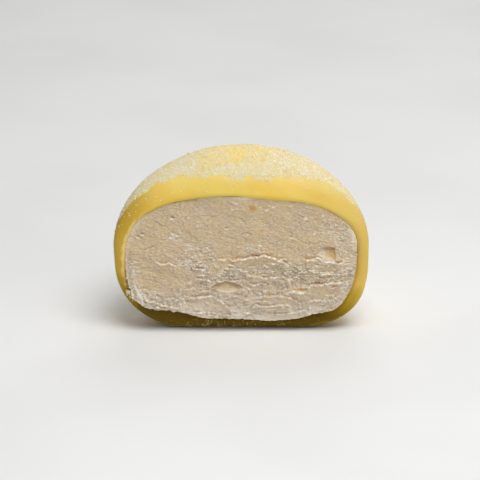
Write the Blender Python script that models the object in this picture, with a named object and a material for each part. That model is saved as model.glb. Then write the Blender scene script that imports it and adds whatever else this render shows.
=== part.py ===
"""Half of a passion fruit mochi: a soft rice-dough skin round a firm, pale brown filling.

Metres, +Z up. The half stands on its flat base with the cut face towards -Y, and the
origin is the middle of its bounding box's underside. One object is one piece of the food:

  skin      dough shell, which the knife drew down into a smooth shoulder above the cut
  filling   ball of filling, whose cut face leans out at the foot and broke in ledges
"""

from math import asin, atan2, cos, exp, hypot, pi, remainder, sin, tau
from typing import NamedTuple

import bmesh
import bpy
from mathutils import Vector, noise

# The whole mochi, before the cut.
WIDTH = 0.0440
HEIGHT = 0.0325
WIDEST_AT = 0.0149  # height of the widest level
DEPTH = 0.0222  # from the cut to the rear
SKIN = 0.0021
GAP = 0.0003  # between the skin and the filling
THICK_PLACES = (  # angle in the cut, spread, added skin, or less skin where it is negative
    (-2.62, 0.20, -0.00058), (-2.32, 0.15, 0.00106), (-2.14, 0.14, 0.00057), (-1.27, 0.24, -0.00046),
    (-0.79, 0.15, 0.00069), (-0.66, 0.12, -0.00035), (-0.44, 0.20, 0.00057), (1.18, 0.29, 0.00085),
    (2.31, 0.28, -0.00027), (2.93, 0.24, 0.00040),
)

# Roundness of the outline: 2 is an ellipse, and more is boxier.
TOP_ROUNDNESS = 2.06
FOOT_ROUNDNESS = 3.0
FOOT_LOPSIDED = 0.35  # the foot is boxier on the right than on the left
FOOT_SUNK = 0.0010  # how much of the round underside has settled flat

# Soft unevenness of the dough.
DENT = 0.00030
DENT_SPACING = 0.0110

# The knife drew the top down to the cut. The turn is the angle back from the cut plane.
SHOULDER_DROP = 0.385  # share of the height above the widest level, at the top
SHOULDER_DROP_SIDE = 0.32
SHOULDER_ROUNDNESS = 1.5  # 1 is a chamfer, and 2 is a round corner
SHOULDER_TURN_TOP = 0.42
SHOULDER_TURN_SIDE = 0.07
LIP_BULGE = 0.00055
FOOT_TUCK = 0.0009
TUCK_REACH = 0.0030

# The cut face, as how far it stands in front of the cut plane.
FACE_TOP = 0.0235
FACE_TOP_PROUD = -0.00015
FACE_FOOT = 0.0050
FACE_FOOT_PROUD = 0.00110
FACE_EDGE_ROUND = 0.0007
FACE_EDGE_FROM = 0.90  # share of the way out to the edge where the rounding starts
LEDGE_END_FADE = 0.0010
CRUMB = 0.00012
CRUMB_SPACING = 0.0016
COLLAR = 0.0030  # how far the filling stands out before the face is cut

# Fineness of the faceted solids.
SEGMENTS = 72
CAVITY_RINGS = 10
LIP_RINGS = 4
OUTER_RINGS = 16
SHOULDER_SHARE = 0.4  # of the rings from the cut to the rear
FACE_COLUMNS = 44
FACE_ROWS = 48

DOUGH_YELLOW = (0.72, 0.52, 0.13, 1.0)
FILLING_BEIGE = (0.52, 0.41, 0.27, 1.0)
DOUGH_ROUGHNESS = 0.45
FILLING_ROUGHNESS = 0.7


class Ledge(NamedTuple):
    """A plate of the broken filling: its crest's points as x and height, its step and its fade."""

    crest: tuple
    proud: float
    fade: float


class Hollow(NamedTuple):
    """A smooth hollow in the cut face."""

    x: float
    z: float
    half_width: float
    half_height: float
    depth: float


LEDGES = (
    Ledge(((-0.0021, 0.0131), (0.0017, 0.0136), (0.0041, 0.0140), (0.0083, 0.0121)), 0.0006, 0.0026),
    Ledge(((0.0104, 0.0132), (0.0129, 0.0136), (0.0146, 0.0128), (0.0176, 0.0126)), 0.0005, 0.0022),
    Ledge(((-0.0150, 0.0128), (-0.0134, 0.0125), (-0.0108, 0.0119)), 0.0004, 0.0020),
    Ledge(((-0.0004, 0.0109), (0.0021, 0.0104), (0.0069, 0.0102), (0.0086, 0.0092)), 0.0005, 0.0020),
    Ledge(((0.0083, 0.0075), (0.0108, 0.0073), (0.0119, 0.0086), (0.0174, 0.0092)), 0.0006, 0.0028),
    Ledge(((0.0030, 0.0068), (0.0058, 0.0070), (0.0086, 0.0067)), 0.0005, 0.0020),
    Ledge(((-0.0094, 0.0063), (-0.0053, 0.0067), (-0.0036, 0.0060), (-0.0022, 0.0046)), 0.0005, 0.0024),
    Ledge(((0.0012, 0.0044), (0.0029, 0.0053), (0.0041, 0.0048), (0.0090, 0.0050)), 0.0005, 0.0022),
)
ALMOND = Hollow(-0.0025, 0.0083, 0.0028, 0.0010, 0.0006)
CHIP = Hollow(0.0147, 0.0142, 0.0017, 0.0014, 0.0008)


def clear_scene():
    for obj in list(bpy.data.objects):
        bpy.data.objects.remove(obj, do_unlink=True)


def new_collection(name):
    collection = bpy.data.collections.new(name)
    bpy.context.scene.collection.children.link(collection)
    return collection


def material(name, colour, roughness):
    made = bpy.data.materials.new(name)
    made.use_nodes = True
    shader = made.node_tree.nodes["Principled BSDF"]
    shader.inputs["Base Color"].default_value = colour
    shader.inputs["Roughness"].default_value = roughness
    shader.inputs["Metallic"].default_value = 0.0
    made.diffuse_color = colour
    return made


def smoothstep(low, high, value):
    t = min(max((value - low) / (high - low), 0.0), 1.0)
    return t * t * (3 - 2 * t)


def shoulder_turn(around):
    """How far back from the cut the drawn-down shoulder reaches, in this direction of the cut face."""
    return SHOULDER_TURN_SIDE + (SHOULDER_TURN_TOP - SHOULDER_TURN_SIDE) * max(sin(around), 0.0)


def turn_at(around, back):
    """The turn for a share of the way from the cut to the rear, with close steps on the shoulder."""
    shoulder = shoulder_turn(around)
    if back < SHOULDER_SHARE:
        return shoulder * (1 - cos(back / SHOULDER_SHARE * pi / 2))
    return shoulder + (pi / 2 - shoulder) * (back - SHOULDER_SHARE) / (1 - SHOULDER_SHARE)


def body_point(around, turn):
    """A point of the uncut mochi's outside, from its angle in the cut face and its turn back."""
    way = Vector((cos(around) * cos(turn), sin(turn), sin(around) * cos(turn)))
    upper = way.z > 0
    roundness = TOP_ROUNDNESS if upper else FOOT_ROUNDNESS + FOOT_LOPSIDED * way.x
    rise = HEIGHT - WIDEST_AT if upper else WIDEST_AT + FOOT_SUNK
    level = hypot(way.x / (WIDTH / 2), way.y / DEPTH)
    reach = (level**roundness + (abs(way.z) / rise) ** roundness) ** (-1 / roundness)
    reach += DENT * noise.noise(way * (WIDTH / 2 / DENT_SPACING))
    point = way * reach
    point.z = max(point.z + WIDEST_AT, 0.0)
    return point


def outward(around, turn):
    """The uncut outside's normal there, from its slopes."""
    step = 1e-3
    if turn > pi / 2 - 2 * step:
        return Vector((0, 1, 0))
    along = body_point(around + step, turn) - body_point(around - step, turn)
    rearward = body_point(around, turn + step) - body_point(around, turn - step)
    return rearward.cross(along).normalized()


def skin_thickness(around):
    thickness = SKIN
    for angle, spread, added in THICK_PLACES:
        thickness += added * exp(-((remainder(around - angle, tau) / spread) ** 2))
    return thickness


def form_point(around, back, under):
    """A point that far under the mochi's outside, as the knife left it."""
    turn = turn_at(around, back)
    point = body_point(around, turn) - outward(around, turn) * under
    behind = min(turn / shoulder_turn(around), 1.0)
    rounded = 1 - (1 - (1 - behind) ** SHOULDER_ROUNDNESS) ** (1 / SHOULDER_ROUNDNESS)
    if point.z > WIDEST_AT:
        drop = SHOULDER_DROP + (SHOULDER_DROP_SIDE - SHOULDER_DROP) * cos(around) ** 2
        point.z -= (point.z - WIDEST_AT) * drop * rounded
    point.y += FOOT_TUCK * max(-sin(around), 0.0) * exp(-((point.y / TUCK_REACH) ** 2))
    return point


def moved_sphere(name, rings, place):
    """A sphere whose poles lie along Y, with each vertex where place puts its angle and ring."""
    mesh = bpy.data.meshes.new(name)
    shape = bmesh.new()
    bmesh.ops.create_uvsphere(shape, u_segments=SEGMENTS, v_segments=rings, radius=1)
    for vertex in shape.verts:
        ring = rings * (asin(max(min(-vertex.co.z, 1.0), -1.0)) / pi + 0.5)
        vertex.co = place(atan2(vertex.co.y, vertex.co.x), round(ring))
    shape.to_mesh(mesh)
    shape.free()
    mesh.shade_smooth()
    return bpy.data.objects.new(name, mesh)


def skin_point(around, ring):
    """The skin's rings run from its cavity's rear to the cut, over the lip and along the outside."""
    if ring <= CAVITY_RINGS:
        return form_point(around, 1 - ring / CAVITY_RINGS, skin_thickness(around))
    ring -= CAVITY_RINGS
    if ring < LIP_RINGS:
        outer_share = ring / LIP_RINGS
        inner = form_point(around, 0, skin_thickness(around))
        outer = form_point(around, 0, 0)
        lip = inner.lerp(outer, outer_share)
        lip.y -= LIP_BULGE * sin(pi * outer_share)
        return lip
    return form_point(around, (ring - LIP_RINGS) / OUTER_RINGS, 0)


def ball_point(around, ring):
    """The uncut filling's rings: its flat front, out of the cut plane, and then its round body."""
    under = skin_thickness(around) + GAP
    if ring == 0:
        return Vector((0, -COLLAR, WIDEST_AT))
    if ring == 1:
        rim = form_point(around, 0, under)
        rim.y = -COLLAR
        return rim
    return form_point(around, (ring - 2) / CAVITY_RINGS, under)


def crest_height(crest, x):
    """The crest's height at x, or None beside the ledge."""
    for (x0, z0), (x1, z1) in zip(crest, crest[1:]):
        if x0 <= x <= x1:
            return z0 + (z1 - z0) * (x - x0) / (x1 - x0)
    return None


def ledge_proud(ledge, x, z):
    """How far the plate stands out there. It is a step at the crest, and fades below it."""
    height = crest_height(ledge.crest, x)
    if height is None or z > height:
        return 0.0
    left, right = ledge.crest[0][0], ledge.crest[-1][0]
    ends = smoothstep(0, LEDGE_END_FADE, x - left) * smoothstep(0, LEDGE_END_FADE, right - x)
    return ledge.proud * ends * exp(-(height - z) / ledge.fade)


def hollow_depth(hollow, x, z):
    away = ((x - hollow.x) / hollow.half_width) ** 2 + ((z - hollow.z) / hollow.half_height) ** 2
    return hollow.depth * max(0.0, 1 - away)


def edge_share(x, z):
    """How far out in the cut face a point lies: 0 at the middle and 1 at the filling's edge."""
    around = atan2(z - WIDEST_AT, x)
    rim = form_point(around, 0, skin_thickness(around) + GAP)
    return hypot(x, z - WIDEST_AT) / hypot(rim.x, rim.z - WIDEST_AT)


def face_proud(x, z):
    """How far the filling's cut face stands in front of the cut plane."""
    foot_share = 1 - smoothstep(FACE_FOOT, FACE_TOP, z)
    proud = FACE_TOP_PROUD + (FACE_FOOT_PROUD - FACE_TOP_PROUD) * foot_share
    proud += CRUMB * noise.noise(Vector((x, 0, z)) / CRUMB_SPACING)
    proud += max(ledge_proud(ledge, x, z) for ledge in LEDGES)
    proud -= hollow_depth(ALMOND, x, z) + hollow_depth(CHIP, x, z)
    return proud - FACE_EDGE_ROUND * smoothstep(FACE_EDGE_FROM, 1.02, edge_share(x, z))


def knife(collection):
    """The block that cuts the filling. Its rear face is the broken cut."""
    margin = 0.001
    width, low, high = WIDTH + 2 * margin, -margin, HEIGHT + margin
    mesh = bpy.data.meshes.new("knife")
    shape = bmesh.new()
    bmesh.ops.create_grid(shape, x_segments=FACE_COLUMNS, y_segments=FACE_ROWS, size=0.5)
    for vertex in shape.verts:
        x = vertex.co.x * width
        z = low + (vertex.co.y + 0.5) * (high - low)
        vertex.co = (x, -face_proud(x, z), z)
    front = bmesh.ops.extrude_face_region(shape, geom=shape.faces[:])
    for element in front["geom"]:
        if isinstance(element, bmesh.types.BMVert):
            element.co.y = -2 * COLLAR
    bmesh.ops.recalc_face_normals(shape, faces=shape.faces)
    shape.to_mesh(mesh)
    shape.free()
    block = bpy.data.objects.new("knife", mesh)
    block.hide_render = True
    block.display_type = "WIRE"
    collection.objects.link(block)
    return block


def skin(collection):
    obj = moved_sphere("skin", CAVITY_RINGS + LIP_RINGS + OUTER_RINGS, skin_point)
    obj.data.materials.append(material("dough", DOUGH_YELLOW, DOUGH_ROUGHNESS))
    collection.objects.link(obj)
    return obj


def filling(collection, block):
    obj = moved_sphere("filling", CAVITY_RINGS + 2, ball_point)
    obj.data.materials.append(material("filling", FILLING_BEIGE, FILLING_ROUGHNESS))
    collection.objects.link(obj)
    cut = obj.modifiers.new("cut", "BOOLEAN")
    cut.operation = "DIFFERENCE"
    cut.object = block
    return obj


def shift_to_origin(pieces):
    """The move that brings the middle of the bounding box's underside to the origin."""
    bpy.context.view_layer.update()
    graph = bpy.context.evaluated_depsgraph_get()
    points = []
    for piece in pieces:
        points += [vertex.co.copy() for vertex in piece.evaluated_get(graph).data.vertices]
    low = [min(point[axis] for point in points) for axis in range(3)]
    high = [max(point[axis] for point in points) for axis in range(3)]
    return Vector((-(low[0] + high[0]) / 2, -(low[1] + high[1]) / 2, -low[2]))


def main():
    clear_scene()
    pieces = new_collection("passion_fruit_mochi")
    cutters = new_collection("cutters")
    block = knife(cutters)
    parts = [skin(pieces), filling(pieces, block)]
    shift = shift_to_origin(parts)
    for obj in parts + [block]:
        obj.location = shift


main()
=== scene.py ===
"""Looks of a passion fruit mochi cut in half: starch-dusted yellow rice dough round a pale brown filling.

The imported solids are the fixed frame. The dough and the filling are modelled again with their fine
relief, on the same form, and stand for the solids. Starch grains and crumbs lie on them.
Sizes are in metres, except where a name ends in _mm.
"""

import logging
import math
from dataclasses import dataclass
from enum import Enum
from typing import Sequence

import bpy
import numpy as np
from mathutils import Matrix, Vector, noise


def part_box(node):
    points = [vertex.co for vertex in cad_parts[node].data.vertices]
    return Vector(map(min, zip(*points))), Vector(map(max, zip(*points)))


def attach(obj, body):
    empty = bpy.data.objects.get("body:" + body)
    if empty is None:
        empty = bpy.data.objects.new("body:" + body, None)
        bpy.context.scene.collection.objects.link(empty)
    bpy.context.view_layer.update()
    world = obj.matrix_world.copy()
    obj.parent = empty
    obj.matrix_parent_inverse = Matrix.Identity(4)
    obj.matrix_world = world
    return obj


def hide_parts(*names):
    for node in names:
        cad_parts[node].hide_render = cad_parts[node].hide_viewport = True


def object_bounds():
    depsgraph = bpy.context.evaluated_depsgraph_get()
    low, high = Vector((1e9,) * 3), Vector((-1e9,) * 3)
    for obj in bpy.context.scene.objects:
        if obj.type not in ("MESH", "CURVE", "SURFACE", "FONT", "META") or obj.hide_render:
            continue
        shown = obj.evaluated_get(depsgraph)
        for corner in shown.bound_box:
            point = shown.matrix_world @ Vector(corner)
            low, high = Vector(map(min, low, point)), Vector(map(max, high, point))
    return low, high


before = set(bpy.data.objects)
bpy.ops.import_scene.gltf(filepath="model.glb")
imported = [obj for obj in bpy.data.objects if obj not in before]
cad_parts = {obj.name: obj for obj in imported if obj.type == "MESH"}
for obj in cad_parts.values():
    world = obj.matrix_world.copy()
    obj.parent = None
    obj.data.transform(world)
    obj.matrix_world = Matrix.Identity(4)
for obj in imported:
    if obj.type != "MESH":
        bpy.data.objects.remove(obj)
CAD_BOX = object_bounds()

MM = 0.001
BODY = "root"
LOG = logging.getLogger("mochi")

Array = np.ndarray
Colour = tuple[float, float, float, float]
Triple = tuple[float, float, float]
Piece = bpy.types.Object
Socket = bpy.types.NodeSocket


class Node(Enum):
    """The solids of the frame."""

    SKIN = "skin"
    FILLING = "filling"


class Slot(Enum):
    """The record's material slots."""

    DOUGH = "dough"
    FILLING = "filling"


class Mark(Enum):
    """Point attributes that carry a pattern from the shape to its finish."""

    DUST = "dust"
    # painted light on the dough
    PAINTED_LIGHT = "painted_light"
    # painted shade on the dough
    PAINTED_SHADE = "painted_shade"
    # pale frosty parts, and painted highlight on crests and tops
    SMEAR = "smear"
    # amber staining, partly painted shade in recesses and hollows
    FROST_AND_HIGHLIGHT = "frost_and_highlight"
    # reddish spots, partly painted shade
    STAIN_AND_SHADE = "stain_and_shade"
    RUST_AND_SHADE = "rust_and_shade"
    ROUGH = "rough"
    # painted shade in hollows, creases and between grains
    HOLLOW_SHADE = "hollow_shade"
    AROUND = "around"


def ramp(low: float, high: float, value: Array) -> Array:
    """Soft step from 0 to 1.

    Args:
        low: Value where the step starts.
        high: Value where it ends.
        value: The values to step.

    Returns:
        The steps, between 0 and 1.
    """
    share = np.clip((value - low) / (high - low), 0, 1)
    return share * share * (3.0 - 2.0 * share)


def noise_at(points: Array, spacing: Sequence[float] | float, seed: float = 0.0) -> Array:
    """Smooth noise between about -1 and 1.

    Args:
        points: Places, one row each.
        spacing: Size of the noise's lumps, alike or one for each axis.
        seed: Moves the pattern.

    Returns:
        One value for each place.
    """
    places = (points / np.asarray(spacing) + seed).tolist()
    return np.fromiter((noise.noise(place) for place in places), float, len(places))


def bell(away: Array, width: float) -> Array:
    """1 in the middle, falling off smoothly on both sides."""
    return np.exp(-((away / width) ** 2))


def plane_places(x: Array, z: Array) -> Array:
    """Places in the cut face as rows of x, 0 and z."""
    return np.stack((x, np.zeros_like(x), z), axis=-1)


@dataclass(frozen=True)
class MochiForm:
    """The form of the cut mochi, with the sizes that its solids are made from."""

    width: float = 0.044
    height: float = 0.0325
    widest_at: float = 0.0149
    depth: float = 0.0222
    skin: float = 0.0021
    gap: float = 0.00003
    thick_places: tuple[Triple, ...] = (
        (-2.62, 0.2, -0.00058), (-2.32, 0.15, 0.00106), (-2.14, 0.14, 0.00057), (-1.27, 0.24, -0.00046),
        (-0.79, 0.15, 0.00069), (-0.66, 0.12, -0.00035), (-0.44, 0.2, 0.00057), (1.18, 0.29, 0.00085),
        (2.31, 0.28, -0.00027), (2.93, 0.24, 0.0004),
    )
    top_roundness: float = 2.06
    foot_roundness: float = 3.0
    foot_lopsided: float = 0.35
    foot_sunk: float = 0.001
    foot_softness: float = 0.0006
    dent: float = 0.0003
    dent_spacing: float = 0.011
    shoulder_drop: float = 0.385
    shoulder_drop_side: float = 0.32
    shoulder_roundness: float = 1.5
    shoulder_turn_top: float = 0.42
    shoulder_turn_side: float = 0.07
    shoulder_share: float = 0.4
    lip_bulge: float = 0.00055
    foot_tuck: float = 0.0009
    tuck_reach: float = 0.003

    def shoulder_turn(self, around: Array) -> Array:
        """How far back the drawn-down shoulder reaches, as an angle."""
        spread = self.shoulder_turn_top - self.shoulder_turn_side
        return self.shoulder_turn_side + spread * np.maximum(np.sin(around), 0.0)

    def turn_at(self, around: Array, back: Array) -> Array:
        """The angle back from the cut for a share of the way to the rear.

        Args:
            around: Angles in the cut face.
            back: Shares of the way from the cut, 0, to the rear, 1.

        Returns:
            The angles back from the cut plane.
        """
        shoulder = self.shoulder_turn(around)
        near = shoulder * (1 - np.cos(back / self.shoulder_share * math.pi / 2))
        beyond = (back - self.shoulder_share) / (1 - self.shoulder_share)
        return np.where(back < self.shoulder_share, near, shoulder + (math.pi / 2 - shoulder) * beyond)

    def body(self, around: Array, turn: Array, resting: bool = True) -> Array:
        """Points of the uncut mochi's outside.

        Args:
            around: Angles in the cut face.
            turn: Angles back from the cut plane.
            resting: Whether its foot is pressed flat by what it rests on.

        Returns:
            The points, one row each.
        """
        way = np.stack((np.cos(around) * np.cos(turn), np.sin(turn), np.sin(around) * np.cos(turn)), axis=-1)
        upper = way[:, 2] > 0
        roundness = np.where(upper, self.top_roundness, self.foot_roundness + self.foot_lopsided * way[:, 0])
        rise = np.where(upper, self.height - self.widest_at, self.widest_at + self.foot_sunk)
        level = np.hypot(way[:, 0] / (self.width / 2), way[:, 1] / self.depth)
        reach = (level**roundness + (np.abs(way[:, 2]) / rise) ** roundness) ** (-1 / roundness)
        reach = reach + self.dent * noise_at(way, self.dent_spacing / (self.width / 2))
        points = way * reach[:, None]
        points[:, 2] += self.widest_at
        if resting:
            points[:, 2] = np.maximum(self._soften(points[:, 2]) - self._soften(-self.foot_sunk), 0.0)
        return points

    def _soften(self, height: Array | float) -> Array:
        """Rounds the turn from the side to the flat foot."""
        return (height + np.hypot(height, self.foot_softness)) / 2

    def outward(self, around: Array, turn: Array) -> Array:
        """Normals of the uncut outside, from its slopes."""
        step = 1e-3
        along = self.body(around + step, turn, False) - self.body(around - step, turn, False)
        rearward = self.body(around, turn + step, False) - self.body(around, turn - step, False)
        normals = np.cross(rearward, along)
        normals /= np.maximum(np.linalg.norm(normals, axis=1), 1e-12)[:, None]
        normals[turn > math.pi / 2 - 2 * step] = (0.0, 1.0, 0.0)
        return normals

    def skin_thickness(self, around: Array) -> Array:
        """Thickness of the dough in each direction of the cut face."""
        thickness = np.full_like(around, self.skin)
        for angle, spread, added in self.thick_places:
            away = np.angle(np.exp(1j * (around - angle)))
            thickness += added * bell(away, spread)
        return thickness

    def point(self, around: Array, back: Array, under: Array | float) -> Array:
        """Points under the mochi's outside, as the knife left it.

        Args:
            around: Angles in the cut face.
            back: Shares of the way from the cut to the rear.
            under: How far under the outside.

        Returns:
            The points, one row each.
        """
        turn = self.turn_at(around, back)
        points = self.body(around, turn)
        if np.any(under):
            points = points - self.outward(around, turn) * np.reshape(under, (-1, 1))
        behind = np.clip(turn / self.shoulder_turn(around), 0, 1)
        power = self.shoulder_roundness
        rounded = 1 - (1 - (1 - behind) ** power) ** (1 / power)
        drop = self.shoulder_drop + (self.shoulder_drop_side - self.shoulder_drop) * np.cos(around) ** 2
        above = np.maximum(points[:, 2] - self.widest_at, 0.0)
        points[:, 2] -= above * drop * rounded
        tuck = self.foot_tuck * np.maximum(-np.sin(around), 0.0)
        points[:, 1] += tuck * np.exp(-((points[:, 1] / self.tuck_reach) ** 2))
        return points

    def filling_rim(self, around: Array) -> Array:
        """The filling's edge in the cut plane."""
        return self.point(around, np.zeros_like(around), self.skin_thickness(around) + self.gap)

    def frame_shift(self) -> Vector:
        """The move from the form's own origin, on the cut plane, to the frame's."""
        around = np.linspace(-math.pi, math.pi, 721)
        rear = self.depth + self.dent * noise.noise(Vector((0, 1, 0)) * (self.width / 2 / self.dent_spacing))
        rim = self.point(around, np.zeros_like(around), 0.0)
        low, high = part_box(Node.SKIN.value)
        middle = (low.x + high.x - rim[:, 0].min() - rim[:, 0].max()) / 2
        return Vector((middle, high.y - rear, low.z))


@dataclass(frozen=True)
class Ledge:
    """A plate of the broken filling, in millimetres."""

    crest: tuple[tuple[float, float], ...]
    step: float
    length: float
    stain_and_shade: float = 0.5
    wander: float = 0.2


@dataclass(frozen=True)
class Patch:
    """An oval place in the cut face, in millimetres, with how strong it is."""

    x: float
    z: float
    half_width: float
    half_height: float
    amount: float = 1.0

    def share(self, x: Array, z: Array) -> Array:
        """1 in the middle of the place, and 0 at its edge and beyond."""
        away = ((x - self.x) / self.half_width) ** 2 + ((z - self.z) / self.half_height) ** 2
        return self.amount * np.clip(1 - away, 0, 1)


def patches(*rows: tuple[float, ...]) -> tuple[Patch, ...]:
    """Patches from rows of x, z, half width, half height and amount."""
    return tuple(Patch(*row) for row in rows)


@dataclass
class Relief:
    """The cut face while it is carved: its places, how far each stands out, and its markings."""

    x: Array
    z: Array
    edge: Array
    proud: Array
    marks: dict[Mark, Array]

    def __post_init__(self) -> None:
        """Keeps the places as rows too."""
        self.places = plane_places(self.x, self.z)

    def noise(self, spacing: Sequence[float] | float, seed: float) -> Array:
        """Noise over the whole face."""
        return noise_at(self.places, spacing, seed)

    def add(self, mark: Mark, values: Array) -> None:
        """Strengthens a marking wherever the values are higher."""
        self.marks[mark] = np.maximum(self.marks[mark], values)

    def fade(self, share: Array, *marks: Mark) -> None:
        """Weakens some markings to a share of what they were."""
        for mark in marks:
            self.marks[mark] = self.marks[mark] * share


@dataclass
class CutFace:
    """Relief and markings of the filling's cut face. Places are in millimetres from the cut's foot."""

    form: MochiForm
    top_proud: float = 0.05
    foot_proud: float = 1.1
    top_at: float = 23.5
    foot_at: float = 5.0
    edge_from: float = 0.93
    edge_round: float = 0.4
    swell: float = 0.2
    crease_depth: float = 0.15
    crease_width: float = 0.055
    pebble_depth: float = 0.095
    pebble_size: Triple = (0.48, 1.0, 0.31)
    curl_depth: float = 0.2
    curl_width: float = 0.14
    flake_step: float = 0.26
    flake_spacing: float = 1.05
    drag_lean: float = -15.0
    pale_height: float = 0.12
    ledges: tuple[Ledge, ...] = (
        Ledge(
            ((-2.1, 13.1), (-0.5, 13.2), (1.7, 13.6), (4.1, 14), (5.3, 13.6), (6.9, 13), (8.3, 12.1)),
            0.42, 2.4, 0.8,
        ),
        Ledge(
            ((10.4, 13.2), (12, 13.2), (12.9, 13.6), (14.6, 12.8), (16.3, 12.7), (17.6, 12.6)),
            0.3, 2.2, 0.5,
        ),
        Ledge(((-15, 12.8), (-13.4, 12.5), (-12.4, 12.7), (-10.8, 11.9)), 0.3, 2.2, 0.4),
        Ledge(((-0.4, 10.9), (2.1, 10.4), (4.1, 9.9), (6.9, 10.2), (8.4, 9.6), (8.8, 8.4)), 0.34, 1.9, 0.5),
        Ledge(
            ((8.3, 7.5), (10.8, 7.3), (11.2, 7.9), (11.9, 8.6), (13.9, 8.8), (14.4, 9.1), (17.4, 9.2)),
            0.46, 3, 1,
        ),
        Ledge(((3, 6.6), (5.7, 6.75), (6.2, 6.85), (8.4, 6.3), (9.4, 5.9), (10.9, 5)), 0.36, 1.7, 0.9),
        Ledge(((-9.4, 6.3), (-7.2, 6.6), (-5.3, 6.7), (-3.6, 6), (-2.2, 4.6), (-1.4, 3.6)), 0.4, 2.4, 0.6),
        Ledge(((1.2, 4.3), (2.6, 5.25), (3.4, 4.9), (5.4, 4.9), (7, 5.15), (9, 4.9)), 0.32, 1.8, 0.6),
        Ledge(((-17.2, 6.9), (-15.8, 5.9), (-13.4, 5), (-10.4, 4.4)), 0.25, 1.4, 0.3),
        Ledge(((-8.4, 3.6), (-5, 3.7), (-2.4, 3.2)), 0.25, 1.2, 0.5),
        Ledge(((-8.4, 9.6), (-7, 9.9), (-5, 9.3)), 0.2, 1.2, 0.4),
        Ledge(((9.4, 10.9), (11.6, 11.3), (14.6, 10.8)), 0.2, 1.6, 0.3),
        Ledge(((10.2, 5.4), (12.6, 6), (15.4, 5.9), (17.2, 6.8)), 0.22, 1.6, 0.3),
        Ledge(((4.6, 3.4), (8.2, 3.5), (11.8, 4.3)), 0.22, 1.3, 0.4),
    )
    chips: int = 100
    chip_seed: int = 12
    rough_places: tuple[Patch, ...] = patches(
        (-8, 12.4, 4.6, 3.8, 1.2), (-5.5, 9, 4.6, 2.4, 0.9), (-2.2, 9.9, 3.4, 1.3, 1.4),
        (-0.4, 6, 2.5, 2.2, 1.6), (17.6, 16.3, 2.4, 4.8, 1.1), (15.7, 19, 2.6, 2.2, 0.9),
        (13.2, 11, 4.6, 2, 1.1), (9.2, 10.4, 2.2, 3, 1.2), (5.2, 11.8, 4.2, 1.5, 1.1),
        (6, 8.6, 5, 1.6, 1.1), (-13.6, 5.7, 5.4, 1.9, 1.5), (2.4, 14.9, 2.8, 1.3, 1.2),
        (12.5, 5, 5.2, 2, 0.9), (0, 3.4, 12, 1.5, 1), (-10.8, 17.2, 1.5, 2, 0.55),
        (9.5, 17.6, 1.4, 1, 0.3), (-9.6, 5.8, 2.8, 1.6, 0.8),
    )
    smooth_places: tuple[Patch, ...] = patches(
        (-13.6, 10.2, 6.4, 3.3, 1.6), (1.2, 12.4, 7.5, 1, 1.2), (13.2, 7.4, 5, 1.5, 1.2),
        (-6.4, 5, 3.2, 1.4, 1.2), (5.6, 6, 3.6, 0.9, 1), (14.6, 11.7, 3, 0.9, 0.8),
        (-4.4, 11, 2, 1.2, 0.8),
    )
    calm: Patch = Patch(-14, 10.4, 7, 3.6)
    pits: tuple[Patch, ...] = patches(
        (-11.8, 20.7, 0.46, 0.36, 0.32), (-17.7, 17.35, 0.38, 0.32, 0.3), (-16.9, 17.8, 0.34, 0.3, 0.3),
        (-11.7, 17.9, 0.34, 0.3, 0.22), (-10.9, 17.6, 0.3, 0.26, 0.2), (-2.6, 18.8, 0.34, 0.26, 0.22),
        (8.6, 17.2, 0.4, 0.26, 0.2), (0.9, 3.9, 0.55, 0.38, 0.3), (-5.9, 4.8, 0.36, 0.28, 0.22),
    )
    almond: Patch = Patch(-2.5, 8.25, 2.95, 1.05, 0.5)
    chip_left: float = 13.1
    chip_right: float = 16.1
    chip_top: float = 15.35
    chip_floor: tuple[tuple[float, float], ...] = ((13.1, 14.35), (14.4, 13.3), (16.1, 13.1))
    chip_depth: float = 0.6
    # reddish patches, some in the recesses above crests as painted shade
    rust_and_shade_places: tuple[Patch, ...] = patches(
        (1.9, 22.35, 0.8, 0.62, 0.3), (1.8, 22.25, 0.46, 0.34, 0.6), (2.3, 14, 0.9, 0.2, 1.1),
        (13.2, 9, 0.85, 0.22, 0.75), (15.8, 8.6, 0.6, 0.24, 0.7), (-11.8, 20.85, 0.26, 0.16, 0.25),
    )
    # amber patches, most in the recesses above crests as painted shade
    stain_and_shade_places: tuple[Patch, ...] = patches(
        (1.8, 22.25, 1.1, 0.75, 0.95), (3.5, 18.35, 0.36, 0.28, 1.1), (2.7, 15.2, 0.3, 0.3, 1.2),
        (4.3, 15.4, 0.34, 0.24, 0.9), (8.6, 17.3, 0.34, 0.2, 0.8), (-3.6, 4.2, 1, 0.8, 0.5),
        (10.3, 7.95, 0.55, 0.45, 1.1), (4.85, 7.35, 0.55, 0.25, 1.1), (7.1, 7, 0.95, 0.28, 1),
        (2.35, 5.6, 0.55, 0.35, 1), (8.8, 7.6, 0.7, 0.22, 0.9), (5.2, 14.3, 0.75, 0.22, 0.9),
        (6.7, 13.6, 0.6, 0.22, 0.8), (12.6, 14, 0.35, 0.2, 0.9), (11.3, 13.5, 0.55, 0.16, 0.9),
        (16.8, 12.85, 0.5, 0.15, 0.8),
    )
    pale_places: tuple[Patch, ...] = patches(
        (10.9, 20.4, 0.42, 0.34, 1), (12.4, 17.7, 0.34, 0.24, 0.9), (4.3, 21.95, 0.36, 0.26, 0.8),
        (5.4, 22.5, 0.36, 0.22, 0.8), (-0.9, 23.1, 0.34, 0.2, 0.8), (-1.6, 22.1, 0.26, 0.22, 0.8),
        (-4.2, 19.3, 0.32, 0.18, 0.9), (-9, 20.6, 0.26, 0.24, 0.7), (-12.1, 17, 0.42, 0.26, 0.9),
        (-11.2, 17.4, 0.34, 0.3, 0.9), (-5.8, 15.3, 0.4, 0.2, 0.8), (-9, 15.7, 0.6, 0.4, 0.5),
        (13.9, 21, 0.26, 0.2, 0.7), (8, 21.4, 0.3, 0.2, 0.5),
    )

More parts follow.
